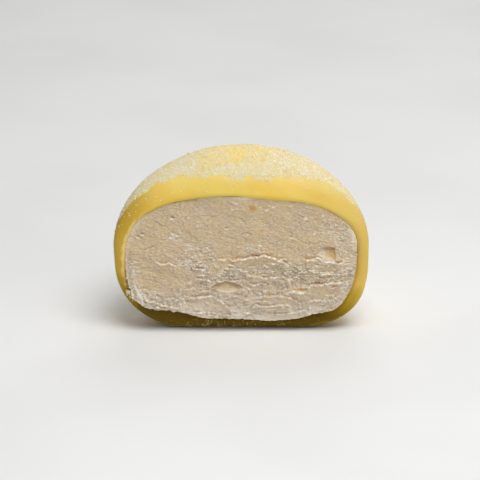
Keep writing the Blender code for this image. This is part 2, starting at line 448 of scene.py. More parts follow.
    def edge_share(self, x: Array, z: Array) -> Array:
        """How far out each place lies, from 0 in the middle to 1 at the filling's edge."""
        centre = self.form.widest_at / MM
        rim = self.form.filling_rim(np.arctan2(z - centre, x)) / MM
        return np.hypot(x, z - centre) / np.hypot(rim[:, 0], rim[:, 2] - centre)

    def carve(self, x: Array, z: Array) -> tuple[Array, dict[Mark, Array]]:
        """Works out the broken surface.

        Args:
            x: Places across the face, in millimetres.
            z: Heights in the face, in millimetres.

        Returns:
            How far each place stands in front of the cut plane, in millimetres, and its markings.
        """
        foot_share = 1 - ramp(self.foot_at, self.top_at, z)
        proud = self.top_proud + (self.foot_proud - self.top_proud) * foot_share
        kinds = (Mark.FROST_AND_HIGHLIGHT, Mark.STAIN_AND_SHADE, Mark.RUST_AND_SHADE, Mark.ROUGH, Mark.HOLLOW_SHADE)
        face = Relief(x, z, self.edge_share(x, z), proud, {mark: np.zeros_like(x) for mark in kinds})
        self._drag(face)
        self._flake(face)
        self._crumble(face)
        for number, ledge in enumerate(self.ledges + self._small_ledges()):
            self._break_ledge(ledge, number, face)
        self._hollow(face)
        for pit in self.pits:
            self._pit(pit, face)
        uneven = 0.9 + 0.7 * face.noise(0.3, 31.0)
        for place in self.rust_and_shade_places:
            face.add(Mark.RUST_AND_SHADE, place.share(x, z) * uneven)
        uneven = 1.0 + 0.8 * face.noise(0.3, 35.0)
        for place in self.pale_places:
            face.proud += self.pale_height * (place.share(x, z) * uneven)
            face.add(Mark.FROST_AND_HIGHLIGHT, place.share(x, z) * uneven)
        uneven = 0.9 + 0.6 * face.noise(0.4, 33.0)
        for place in self.stain_and_shade_places:
            face.add(Mark.STAIN_AND_SHADE, place.share(x, z) * uneven)
        self._fray(face)
        turned_in = 0.25 + 0.75 * ramp(9, 5, z)
        turned_in += 0.8 * ramp(-14, -17.5, x) * ramp(6, 9.5, z)
        face.proud -= self.edge_round * turned_in * ramp(self.edge_from, 1.0, face.edge) ** 2
        return face.proud, {mark: np.clip(values, 0, 1) for mark, values in face.marks.items()}

    def _drag(self, face: Relief) -> None:
        """Presses in the knife's drag marks and creases, which fall from left to right, and fine pebbles,
        with painted shade in the creases and between the pebbles and painted highlight on the pebbles' tops.
        """
        lean = math.radians(self.drag_lean)
        turned = face.places.copy()
        turned[:, 0] = face.x * math.cos(lean) + face.z * math.sin(lean)
        turned[:, 2] = -face.x * math.sin(lean) + face.z * math.cos(lean)
        face.proud += self.swell * noise_at(turned, (5.0, 1.0, 2.6), 3.0)
        face.proud += 0.45 * self.swell * noise_at(turned, (1.7, 1.0, 0.9), 5.0)
        for spacing, depth, seed in (((4.6, 1.0, 1.9), 1.0, 8.0), ((2.6, 1.0, 1.0), 0.6, 14.0)):
            wave = noise_at(turned, spacing, seed) + 0.08 * noise_at(turned, 0.8, seed + 1)
            shown = ramp(-0.05, 0.35, noise_at(turned, (3.0, 1.0, 2.0), seed + 2))
            crease = bell(wave, self.crease_width)
            face.proud -= depth * self.crease_depth * crease * shown
            face.proud += 0.6 * depth * self.crease_depth * shown * np.exp(-np.abs(wave) / 0.2) * (wave > 0)
            # painted shade in the creases
            face.add(Mark.HOLLOW_SHADE, 0.45 * depth * crease * shown)
        pebble = noise_at(turned, self.pebble_size, 11.0) + 0.6 * face.noise(0.24, 13.0)
        face.proud += self.pebble_depth * pebble
        # painted shade in the pebbles' low places and painted highlight on their tops
        face.add(Mark.HOLLOW_SHADE, 0.5 * ramp(-0.05, -0.6, pebble))
        face.add(Mark.FROST_AND_HIGHLIGHT, 0.34 * ramp(0.2, 0.65, pebble))

    def _flake(self, face: Relief) -> None:
        """Breaks thin near-level layers out of the lower half, with a painted highlight along each layer's
        crest and painted amber shade above it.
        """
        zone = ramp(15, 11.5, face.z) * (1 - ramp(0.95, 0.99, face.edge))
        zone = zone * ramp(-0.3, 0.15, face.noise((3.8, 1.0, 2.2), 41.0))
        zone = zone * (1 - np.clip(1.6 * self.calm.share(face.x, face.z), 0, 1))
        wave = 0.95 * face.noise((5.5, 1.0, 3.0), 43.0) + 0.34 * face.noise((1.3, 1.0, 0.9), 47.0)
        wave += 0.1 * face.noise((0.45, 1.0, 0.4), 48.0)
        level = face.z / self.flake_spacing + wave
        up = level - np.floor(level)
        layer = np.sin(np.floor(level) * 12.9898) * 43758.5453
        shown = ramp(-0.25, 0.25, face.noise((2.2, 1.0, 0.7), 53.0))
        weight = zone * (0.35 + 0.65 * (layer - np.floor(layer))) * shown
        face.proud += self.flake_step * weight * (up**1.4 * (1 - ramp(0.9, 1, up)) - 0.3)
        # painted highlight along each crest, painted amber shade above it
        face.add(Mark.FROST_AND_HIGHLIGHT, 1.2 * weight * (ramp(0.76, 0.88, up) * (1 - ramp(0.93, 1, up))))
        face.add(Mark.STAIN_AND_SHADE, 0.7 * weight * (1 - ramp(0, 0.16, up)))

    def _crumble(self, face: Relief) -> None:
        """Breaks most of the lower half into fine curls, some with pale crests that are painted highlight,
        with painted purplish-grey shade between, and makes it paler towards the bottom as painted light.
        """
        x, z = face.x, face.z
        rough = 0.55 * ramp(13.4, 12, z)
        for place in self.rough_places:
            rough = np.maximum(rough, place.share(x, z))
        for place in self.smooth_places:
            rough = rough * (1 - 0.9 * np.clip(place.share(x, z), 0, 1))
        rough = np.clip(rough * (1.0 + 1.2 * face.noise((1.9, 1.0, 1.1), 17.0)), 0, 1)
        rough *= (1 - ramp(0.97, 1, face.edge)) * (0.62 + 0.38 * ramp(14, 11, z))
        face.marks[Mark.ROUGH] = rough
        # painted light: the lower part is made paler towards the bottom
        face.add(Mark.FROST_AND_HIGHLIGHT, 0.6 * ramp(9, 3, z))
        patchy = ramp(-0.25, 0.3, face.noise((1.0, 1.0, 0.8), 19.0))
        amber = ramp(0.05, 0.4, face.noise((1.3, 1.0, 0.9), 29.0))
        large = 0.3 + 0.7 * ramp(15, 12.5, z)
        for spacing, share, seed in (((0.82, 1.0, 0.52), large, 81.0), ((0.45, 1.0, 0.32), 0.65, 85.0)):
            bend = np.stack([face.noise(0.7, seed + axis) for axis in (1.0, 2.0, 3.0)], axis=-1)
            level = noise_at(face.places + 0.16 * bend, spacing, seed)
            ridge = bell(level, self.curl_width)
            face.proud += share * self.curl_depth * rough * (ridge - 0.35 + 0.9 * level)
            # painted highlight: pale curl crests
            crest = ramp(0.6, 0.9, ridge) * ramp(0.05, 0.35, rough) * (0.25 + 0.75 * patchy)
            face.add(Mark.FROST_AND_HIGHLIGHT, (0.35 + 0.42 * share) * crest)
            # painted shade: the curls' low places darkened purplish grey, and amber in patches
            hollow_shade = ramp(-0.12, -0.38, level) * rough
            face.add(Mark.HOLLOW_SHADE, share * hollow_shade)
            face.add(Mark.STAIN_AND_SHADE, 0.55 * hollow_shade * amber)

    def _small_ledges(self) -> tuple[Ledge, ...]:
        """The many short flakes between the named ones, drawn at random from a seed."""
        random = np.random.default_rng(self.chip_seed)
        found = []
        for _ in range(self.chips):
            x, z, length = random.uniform(-15.5, 16.0), random.uniform(3.0, 13.4), random.uniform(0.5, 2.0)
            tilt, bend = random.normal(0.0, 0.16), random.uniform(-0.25, 0.35)
            crest = tuple(
                (x + length * share, z + length * tilt * share + bend * math.sin(math.pi * share))
                for share in (0.0, 0.33, 0.67, 1.0)
            )
            sizes = random.uniform(0.08, 0.24), random.uniform(0.5, 1.2), random.uniform(0.0, 0.9)
            if self.calm.share(x + length / 2, z) < 0.2:
                found.append(Ledge(crest, *sizes, 0.12))
        return tuple(found)

    def _break_ledge(self, ledge: Ledge, number: int, face: Relief) -> None:
        """Breaks one plate out, with its pale crest, which is a painted highlight, and painted amber shade in
        the dip above it.

        Args:
            ledge: The plate.
            number: Its number, which seeds its unevenness.
            face: The cut face, which this changes.
        """
        crest_x, crest_z = np.array(ledge.crest).T
        near = (face.x > crest_x[0] - 0.2) & (face.x < crest_x[-1] + 0.2)
        near &= (face.z < crest_z.max() + 1.5) & (face.z > crest_z.min() - ledge.length - 0.6)
        if not near.any():
            return
        x, z, places = face.x[near], face.z[near], face.places[near]
        line = plane_places(x, np.full_like(x, 7.0 * number))
        wander = ledge.wander * (noise_at(line, 0.85, 61.0) + 0.8 * noise_at(line, 0.32, 67.0))
        wander += 0.07 * noise_at(places + 7.0 * number, 0.2, 69.0)
        below = np.interp(x, crest_x, crest_z) + wander - z
        reach = min(0.9, 0.3 * (crest_x[-1] - crest_x[0]))
        ends = ramp(0.0, reach, x - crest_x[0]) * ramp(0.0, reach, crest_x[-1] - x)
        front = ramp(-0.06, 0.06, below)
        plate = np.clip(1 - below / ledge.length, 0, 1)
        lip = 0.25 * bell(below - 0.1, 0.12)
        face.proud[near] += ledge.step * ends * front * (plate * (0.6 + 0.4 * plate) + lip)
        face.proud[near] -= 0.55 * ledge.step * ends * (1 - front) * bell(below, 0.38)
        lively = np.clip(0.75 + 1.5 * noise_at(line, 0.45, 71.0), 0.05, 1.1)
        # painted highlight on the crest, and painted amber shade in the dip above it
        crest = 1.1 * bell(below - 0.05, 0.075) * ramp(0, 0.5, ends) * lively
        frost_and_highlight, stain_and_shade = face.marks[Mark.FROST_AND_HIGHLIGHT], face.marks[Mark.STAIN_AND_SHADE]
        frost_and_highlight[near] = np.maximum(frost_and_highlight[near] * (1 - 0.5 * front * ends * plate), crest)
        recess_shade = 1.1 * bell(below + 0.26, 0.24) * ends
        patchy = ramp(-0.15, 0.3, noise_at(places, (1.0, 1.0, 0.5), 73.0))
        stain_and_shade[near] = np.maximum(stain_and_shade[near], ledge.stain_and_shade * recess_shade * patchy)

    def _hollow(self, face: Relief) -> None:
        """Presses in the almond-shaped dip and the chip, both deepest under their top edge, with painted
        shadow under their top edges and painted light on the almond's lower part and along the chip's lower
        lip.
        """
        almond = self.almond
        along = np.abs(face.x - almond.x) / almond.half_width
        inside = 1 - along**1.6 - np.abs(face.z - almond.z) / almond.half_height
        inside = ramp(0, 0.16, inside + 0.06 * face.noise(0.6, 97.0))
        up = (face.z - almond.z) / almond.half_height
        face.proud -= inside * almond.amount * ramp(-1, 0.75, up)
        floor_line = np.interp(face.x, *np.transpose(self.chip_floor))
        ragged = 0.14 * face.noise(0.5, 99.0)
        x, z = face.x + ragged, face.z + ragged
        chip = ramp(0, 0.25, x - self.chip_left - 0.6 * (z - 14.4))
        chip = chip * ramp(self.chip_right, self.chip_right - 0.1, x)
        chip = chip * ramp(self.chip_top, self.chip_top - 0.1, z) * ramp(-0.05, 0.2, z - floor_line)
        chip_up = np.clip((z - floor_line) / (self.chip_top - floor_line), 0, 1)
        face.proud -= self.chip_depth * chip * (0.35 + 0.65 * chip_up)
        keep = (1 - 0.95 * inside) * (1 - 0.95 * chip)
        face.fade(keep, Mark.FROST_AND_HIGHLIGHT, Mark.ROUGH, Mark.STAIN_AND_SHADE, Mark.HOLLOW_SHADE)
        # the chip: amber on its bare part, painted shadow under its top edge, paler on its left part
        bare = ramp(13.9, 15.2, x + 0.6 * (z - 14.4))
        face.add(Mark.STAIN_AND_SHADE, chip * (0.08 + 0.32 * bare))
        face.add(Mark.HOLLOW_SHADE, chip * ramp(0.6, 0.95, chip_up))
        face.add(Mark.FROST_AND_HIGHLIGHT, 0.4 * chip * (1 - bare))
        # painted shadow under the almond's top edge, painted amber shade in its upper part, painted light on
        # its lower part
        brow = inside * bell(1 - along**1.6 - up - 0.16, 0.22)
        face.add(Mark.HOLLOW_SHADE, brow)
        face.add(Mark.RUST_AND_SHADE, 0.22 * brow)
        face.add(Mark.STAIN_AND_SHADE, 0.28 * inside * ramp(-0.2, 0.9, up))
        face.add(Mark.FROST_AND_HIGHLIGHT, 0.45 * inside * ramp(0, -0.9, up))
        # painted highlight along the chip's lower lip
        lip = bell(z - floor_line + 0.16, 0.14)
        lip = lip * ramp(self.chip_left - 0.4, self.chip_left + 0.2, x)
        lip = lip * ramp(self.chip_right + 0.2, self.chip_right, x)
        face.add(Mark.FROST_AND_HIGHLIGHT, 0.9 * lip)

    def _pit(self, pit: Patch, face: Relief) -> None:
        """Presses in a small pit, with a painted highlight on its raised lower lip and painted amber shade
        inside.
        """
        inside = pit.share(face.x, face.z) / pit.amount
        face.proud -= 0.75 * pit.amount * ramp(0, 0.8, inside)
        lip = Patch(pit.x, pit.z - 1.05 * pit.half_height, 1.1 * pit.half_width, 0.6 * pit.half_height)
        raised = ramp(0, 0.6, lip.share(face.x, face.z))
        face.proud += 0.35 * pit.amount * raised
        # painted highlight on the raised lower lip, painted amber shade inside
        face.add(Mark.FROST_AND_HIGHLIGHT, 0.55 * raised)
        face.add(Mark.STAIN_AND_SHADE, 0.35 * ramp(0.3, 1, inside))

    def _fray(self, face: Relief) -> None:
        """Smears the margin into pale fibres: wide at the lower left, and a thin rim along the foot. Makes
        the upper rim paler as painted light.
        """
        x, z, edge, marks = face.x, face.z, face.edge, face.marks
        uneven = 0.016 * face.noise(0.9, 91.0) + 0.01 * face.noise(0.35, 92.0)
        wide = ramp(0.885, 0.93, edge + uneven) * (ramp(10.4, 7.8, z) * ramp(-7, -11.5, x))
        thin = ramp(0.955, 0.98, edge + uneven) * ramp(8, 4.5, z)
        margin = np.maximum(wide, thin)
        along = np.arctan2(z - self.form.widest_at / MM, x) * 19.0
        fibres = noise_at(np.stack((along, edge * 19.0, z), axis=-1), (1.3, 0.35, 2.0), 93.0)
        fibres = 1.2 * fibres + 0.7 * face.noise(0.3, 95.0)
        face.proud += margin * (0.04 + 0.17 * fibres)
        face.fade(1 - margin, Mark.STAIN_AND_SHADE, Mark.FROST_AND_HIGHLIGHT, Mark.HOLLOW_SHADE)
        marks[Mark.STAIN_AND_SHADE] += 0.45 * margin * ramp(0.05, 0.5, -fibres)
        face.add(Mark.ROUGH, margin)
        face.add(Mark.FROST_AND_HIGHLIGHT, margin * (0.62 + 0.75 * fibres))
        # painted light: the filling's upper rim is made paler against the shade of the dough's lip above it
        upper_rim = ramp(0.93, 0.99, edge) * ramp(14, 18, z)
        face.add(Mark.FROST_AND_HIGHLIGHT, 0.75 * upper_rim)
        left_rim = ramp(0.955, 0.985, edge + uneven) * ramp(-14.5, -17, x)
        left_rim = left_rim * ramp(19, 15.5, z) * ramp(6.5, 8.5, z)
        face.fade(1 - left_rim, Mark.HOLLOW_SHADE)
        face.add(Mark.FROST_AND_HIGHLIGHT, 0.4 * left_rim)
        face.add(Mark.STAIN_AND_SHADE, 0.42 * left_rim + 0.2 * upper_rim)


class Graph:
    """The nodes of one material, with short calls for those that the finishes share."""

    def __init__(self, name: str) -> None:
        """Starts a material with its Principled shader."""
        self.material = bpy.data.materials.new(name)
        self.material.use_nodes = True
        self.tree = self.material.node_tree
        self.place_mm = self.stretched(self.node("TexCoord", {}).outputs["Object"], (MM, MM, MM))

    def put(self, socket: Socket, value: object) -> None:
        """Links a socket, or sets its value."""
        if isinstance(value, Socket):
            self.tree.links.new(value, socket)
        else:
            socket.default_value = value

    def node(self, kind: str, inputs: dict[str | int, object], **settings: str) -> bpy.types.Node:
        """Adds a node.

        Args:
            kind: Its type, without the words that all of them start with.
            inputs: Values or links for its inputs.
            settings: Its settings.

        Returns:
            The node.
        """
        made = self.tree.nodes.new("ShaderNode" + kind)
        for name, setting in settings.items():
            setattr(made, name, setting)
        for place, value in inputs.items():
            self.put(made.inputs[place], value)
        return made

    def finish(self, inputs: dict[str, object]) -> bpy.types.Material:
        """Sets the shader's inputs and gives the material."""
        for name, value in inputs.items():
            self.put(self.tree.nodes["Principled BSDF"].inputs[name], value)
        return self.material

    def mark(self, mark: Mark) -> Socket:
        """A point attribute of the piece."""
        return self.node("Attribute", {}, attribute_name=mark.value).outputs["Fac"]

    def stretched(self, place: Socket, factors: Sequence[float]) -> Socket:
        """Coordinates that make a pattern longer along each axis, by a factor."""
        scale = [1 / factor for factor in factors]
        return self.node("Mapping", {"Vector": place, "Scale": scale}).outputs["Vector"]

    def noise(
        self, lump_mm: float, detail: float = 2.0, stretch: Sequence[float] = (), bent: float = 0.0
    ) -> Socket:
        """Noise with lumps of about that size.

        Args:
            lump_mm: Size of a lump, in millimetres.
            detail: How many finer sizes are added.
            stretch: Longer lumps along an axis, as factors, or nothing.
            bent: How much the lumps are bent.

        Returns:
            The noise, around 0.5.
        """
        place = self.stretched(self.place_mm, stretch) if stretch else self.place_mm
        inputs = {"Vector": place, "Scale": 1 / lump_mm, "Detail": detail, "Distortion": bent}
        return self.node("TexNoise", inputs).outputs["Fac"]

    def cells(self, lump_mm: float) -> Socket:
        """Round cells of about that size: 0 in their middle, about 0.7 between them."""
        return self.node("TexVoronoi", {"Vector": self.place_mm, "Scale": 1 / lump_mm}).outputs["Distance"]

    def math(self, operation: str, first: object, second: object = 0.0) -> Socket:
        """One sum of two values."""
        return self.node("Math", {0: first, 1: second}, operation=operation).outputs[0]

    def times(self, first: object, second: object) -> Socket:
        """The product of two values."""
        return self.math("MULTIPLY", first, second)

    def step(
        self, value: object, low: float, high: float, to_low: float = 0.0, to_high: float = 1.0
    ) -> Socket:
        """A soft step of a value.

        Args:
            value: The value.
            low: Where the step starts.
            high: Where it ends.
            to_low: The result before the step.
            to_high: The result after it.

        Returns:
            The stepped value.
        """
        inputs = {"Value": value, "From Min": low, "From Max": high, "To Min": to_low, "To Max": to_high}
        return self.node("MapRange", inputs, interpolation_type="SMOOTHSTEP").outputs["Result"]

    def mix(self, share: object, first: object, second: object) -> Socket:
        """A mix of two colours."""
        return self.node("Mix", {0: share, 6: first, 7: second}, data_type="RGBA").outputs[2]

    def bump(
        self, height: object, depth_mm: float, strength: object = 1.0, below: Socket | None = None
    ) -> Socket:
        """Bump of a height between 0 and 1.

        Args:
            height: The height.
            depth_mm: What a height of 1 stands for.
            strength: How much of it shows.
            below: Another bump that this one lies on.

        Returns:
            The bent normal.
        """
        inputs = {"Distance": depth_mm * MM, "Strength": strength, "Height": height}
        if below is not None:
            inputs["Normal"] = below
        return self.node("Bump", inputs).outputs["Normal"]


def srgb(red: int, green: int, blue: int) -> Colour:
    """The linear colour of an sRGB colour of 0 to 255."""
    parts = []
    for part in (red, green, blue):
        value = part / 255
        parts.append(value / 12.92 if value <= 0.04045 else ((value + 0.055) / 1.055) ** 2.4)
    return (*parts, 1.0)


@dataclass(frozen=True)
class DoughFinish:
    """Satin yellow rice dough that glows a little, under a patchy film of starch, with painted light that
    makes it paler towards the top and the right, and painted shade that darkens it towards the foot and on
    the left.
    """

    yellow: Colour = srgb(249, 212, 110)
    warm: Colour = srgb(247, 203, 93)
    # paler yellow, painted light where the light falls
    lit_yellow: Colour = srgb(246, 220, 140)
    # painted shade colours: gold, then brown, for the dough in shade
    golden_shade: Colour = srgb(168, 139, 20)
    brown: Colour = srgb(105, 81, 3)
    film: Colour = srgb(236, 217, 158)
    thick_film: Colour = srgb(229, 219, 188)
    orange: Colour = srgb(238, 203, 108)
    starch: Colour = srgb(244, 240, 220)
    smear: Colour = srgb(238, 208, 134)
    roughness: float = 0.4
    starch_roughness: float = 0.85
    glow: float = 0.35
    glow_radius: Triple = (1.0, 0.68, 0.18)
    glow_scale: float = 0.002
    specular: float = 0.13

    def build(self) -> bpy.types.Material:
        """Makes the material."""
        graph = Graph("dough")
        dust = graph.mark(Mark.DUST)
        painted_shade = graph.mark(Mark.PAINTED_SHADE)
        dough = graph.mix(graph.step(graph.noise(4.2), 0.35, 0.65), self.yellow, self.warm)
        # painted light: a paler yellow towards the top and the right
        dough = graph.mix(graph.mark(Mark.PAINTED_LIGHT), dough, self.lit_yellow)
        # painted shade: gold, then brown, where the shade mark is high
        dough = graph.mix(graph.step(painted_shade, 0.0, 0.55), dough, self.golden_shade)
        dough = graph.mix(graph.step(painted_shade, 0.45, 1.0), dough, self.brown)
        dough = graph.mix(graph.mark(Mark.SMEAR), dough, self.smear)
        grains = graph.noise(0.34, 3.0)
        dusted = graph.math("ADD", dust, graph.times(graph.math("SUBTRACT", grains, 0.5), 1.3))
        film = graph.step(dusted, 0.32, 0.52)
        coat = graph.mix(graph.step(dust, 0.6, 0.95), self.film, self.thick_film)
        colour = graph.mix(graph.times(film, 0.85), dough, coat)
        worms = graph.step(graph.noise(0.78), 0.5, 0.62)
        sparse = graph.step(graph.math("ADD", dust, graph.times(graph.noise(3.0, 1.0), 0.5)), 1.25, 0.85)
        bare = graph.times(graph.times(worms, film), graph.step(sparse, 0.0, 1.0, 0.06, 0.8))
        colour = graph.mix(bare, colour, self.orange)
        granules = graph.step(graph.cells(0.34), 0.5, 0.3)
        granules = graph.times(granules, graph.step(graph.noise(0.7), 0.36, 0.54))
        clots = graph.step(graph.cells(0.75), 0.46, 0.26)
        clots = graph.times(clots, graph.step(graph.noise(2.0, 1.0), 0.48, 0.6))
        loaded = graph.times(graph.math("MAXIMUM", granules, clots), graph.step(dusted, 0.45, 0.75))
        soft = graph.bump(graph.noise(0.7, 4.0), 0.06, 0.6)
        height = graph.math("ADD", loaded, graph.times(grains, 0.6))
        return graph.finish({
            "Base Color": graph.mix(graph.times(loaded, 0.9), colour, self.starch),
            "Roughness": graph.step(film, 0.0, 1.0, self.roughness, self.starch_roughness),
            "Subsurface Weight": self.glow,
            "Subsurface Radius": self.glow_radius,
            "Subsurface Scale": self.glow_scale,
            "Specular IOR Level": self.specular,
            "Normal": graph.bump(height, 0.07, graph.step(film, 0.0, 1.0, 0.05, 0.8), soft),
        })


@dataclass(frozen=True)
class FillingFinish:
    """Matt, frosty pale brown filling, with pale crests that are partly painted highlight, and amber staining
    and painted shade in its recesses and hollows.
    """

    tan: Colour = srgb(207, 184, 147)
    cool: Colour = srgb(206, 184, 152)
    warm: Colour = srgb(212, 188, 145)
    # purplish grey of painted shade
    mauve_shade: Colour = srgb(190, 168, 148)
    # white of the frosty parts, also used as painted highlight
    frost_and_highlight: Colour = srgb(249, 242, 228)
    # amber, for staining and for painted shade
    stain_and_shade: Colour = srgb(208, 160, 74)
    # reddish brown, for spots and for painted shade
    rust_and_shade: Colour = srgb(182, 106, 78)
    # amber of painted shade beside the curl crests
    recess_shade: Colour = srgb(202, 160, 104)
    roughness: float = 0.6
    glow: float = 0.1
    glow_radius: Triple = (1.0, 0.8, 0.55)
    glow_scale: float = 0.0004
    specular: float = 0.35

    def build(self) -> bpy.types.Material:
        """Makes the material."""
        graph = Graph("filling")
        rough = graph.mark(Mark.ROUGH)
        streaks = graph.noise(0.8, 3.0, (3.5, 1, 1))
        colour = graph.mix(graph.step(streaks, 0.35, 0.65), self.tan, self.warm)
        colour = graph.mix(graph.step(graph.noise(2.2), 0.42, 0.66), colour, self.cool)
        # painted shade: purplish grey between grains in the rough parts and in the hollows
        gap_shade = graph.times(graph.step(graph.noise(0.9, 3.0), 0.46, 0.62), rough)
        gap_shade = graph.math("MAXIMUM", graph.times(gap_shade, 0.6), graph.mark(Mark.HOLLOW_SHADE))
        colour = graph.mix(gap_shade, colour, self.mauve_shade)
        pale = graph.times(graph.step(graph.noise(0.26), 0.56, 0.72), graph.step(rough, 0.0, 1.0, 0.25, 0.55))
        frost_and_highlight = graph.math("MAXIMUM", graph.mark(Mark.FROST_AND_HIGHLIGHT), pale)
        # painted highlight: crisp curl crests turned pale as if lit from above, with painted amber shade just
        # beside them
        curls = graph.noise(0.6, 1.5, (1.7, 1, 0.9), 0.7)
        broken = graph.times(graph.step(rough, 0.1, 0.5), graph.step(graph.noise(1.3, 1.0), 0.4, 0.56))
        away = graph.math("ABSOLUTE", graph.math("SUBTRACT", curls, 0.5))
        crest = graph.times(graph.step(away, 0.045, 0.014), broken)
        away = graph.math("ABSOLUTE", graph.math("SUBTRACT", curls, 0.445))
        recess_shade = graph.times(graph.step(away, 0.04, 0.01), broken)
        colour = graph.mix(graph.times(recess_shade, 0.42), colour, self.recess_shade)
        frost_and_highlight = graph.math("MAXIMUM", frost_and_highlight, graph.times(crest, 0.95))
        colour = graph.mix(graph.mark(Mark.STAIN_AND_SHADE), colour, self.stain_and_shade)
        colour = graph.mix(frost_and_highlight, colour, self.frost_and_highlight)
        grain = graph.bump(graph.noise(0.28, 4.0), 0.12, graph.step(rough, 0.0, 1.0, 0.4, 1.0))
        return graph.finish({
            "Base Color": graph.mix(graph.mark(Mark.RUST_AND_SHADE), colour, self.rust_and_shade),
            "Roughness": self.roughness,
            "Subsurface Weight": self.glow,
            "Subsurface Radius": self.glow_radius,
            "Subsurface Scale": self.glow_scale,
            "Specular IOR Level": self.specular,
            "Normal": graph.bump(crest, 0.07, 0.8, grain),
        })


@dataclass(frozen=True)
class StarchFinish:
    """Dry white starch, with painted shade that darkens it towards the foot."""

    white: Colour = srgb(246, 242, 228)
    cream: Colour = srgb(240, 226, 180)
    foot_shade: Colour = srgb(196, 184, 116)

    def build(self) -> bpy.types.Material:
        """Makes the material."""
        graph = Graph("starch")
        colour = graph.mix(graph.step(graph.noise(0.9), 0.4, 0.65), self.white, self.cream)
        height = graph.node("SeparateXYZ", {0: graph.place_mm}).outputs["Z"]
        return graph.finish({
            # painted shade: the grains darken towards the foot
            "Base Color": graph.mix(graph.step(height, 5.0, 2.0), colour, self.foot_shade),
            "Roughness": 0.9,
            "Specular IOR Level": 0.2,
            "Normal": graph.bump(graph.noise(0.06), 0.02, 0.6),
        })


@dataclass(frozen=True)
class CrumbFinish:
    """Pale crumbs of the filling."""

    cream: Colour = srgb(232, 218, 192)
    tan: Colour = srgb(208, 186, 150)

    def build(self) -> bpy.types.Material:
        """Makes the material."""
        graph = Graph("crumb")
        return graph.finish({
            "Base Color": graph.mix(graph.step(graph.noise(0.35), 0.4, 0.6), self.cream, self.tan),
            "Roughness": 0.7,
            "Normal": graph.bump(graph.noise(0.12, 3.0), 0.05, 0.8),
        })


@dataclass(frozen=True)
class FloorFinish:
    """Plain pale floor."""

    pale: Colour = srgb(244, 244, 243)
    shade: Colour = srgb(240, 240, 239)

    def build(self) -> bpy.types.Material:
        """Makes the material."""
        graph = Graph("floor")
        colour = graph.mix(graph.step(graph.noise(60.0), 0.4, 0.6), self.pale, self.shade)
        return graph.finish({"Base Color": colour, "Roughness": 0.8})


def start_piece() -> None:
    """Leaves edit mode and deselects everything before a primitive is added."""
    if bpy.context.object is not None and bpy.context.object.mode != "OBJECT":
        bpy.ops.object.mode_set(mode="OBJECT")
    bpy.ops.object.select_all(action="DESELECT")


def coordinates(mesh: bpy.types.Mesh) -> Array:
    """A mesh's points, one row each."""
    flat = np.empty(len(mesh.vertices) * 3, np.float32)
    mesh.vertices.foreach_get("co", flat)
    return flat.reshape(-1, 3).astype(float)


def set_coordinates(mesh: bpy.types.Mesh, points: Array) -> None:
    """Moves a mesh's points."""
    mesh.vertices.foreach_set("co", points.astype(np.float32).ravel())
    mesh.update()


def write_mark(mesh: bpy.types.Mesh, mark: Mark, values: Array) -> None:
    """Writes a point attribute."""
    layer = mesh.attributes.get(mark.value) or mesh.attributes.new(mark.value, "FLOAT", "POINT")
    layer.data.foreach_set("value", values.astype(np.float32))


def read_mark(mesh: bpy.types.Mesh, mark: Mark) -> Array:
    """Reads a point attribute."""
    values = np.empty(len(mesh.vertices), np.float32)
    mesh.attributes[mark.value].data.foreach_get("value", values)
    return values.astype(float)


def keep_in_box(points: Array) -> Array:
    """Keeps points inside the frame's box."""
    low, high = (np.array(corner) for corner in CAD_BOX)
    return np.clip(points, low, high)


def dress(piece: Piece, name: str, material: bpy.types.Material) -> None:
    """Names a piece, gives it its finish and puts it on the frame's body.

    Args:
        piece: The piece.
        name: Its name.
        material: Its finish.
    """
    piece.name = name
    piece.data.name = name
    piece.data.materials.clear()
    piece.data.materials.append(material)
    piece.data.shade_smooth()
    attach(piece, BODY)
    LOG.info("%s: %d faces", name, len(piece.data.polygons))


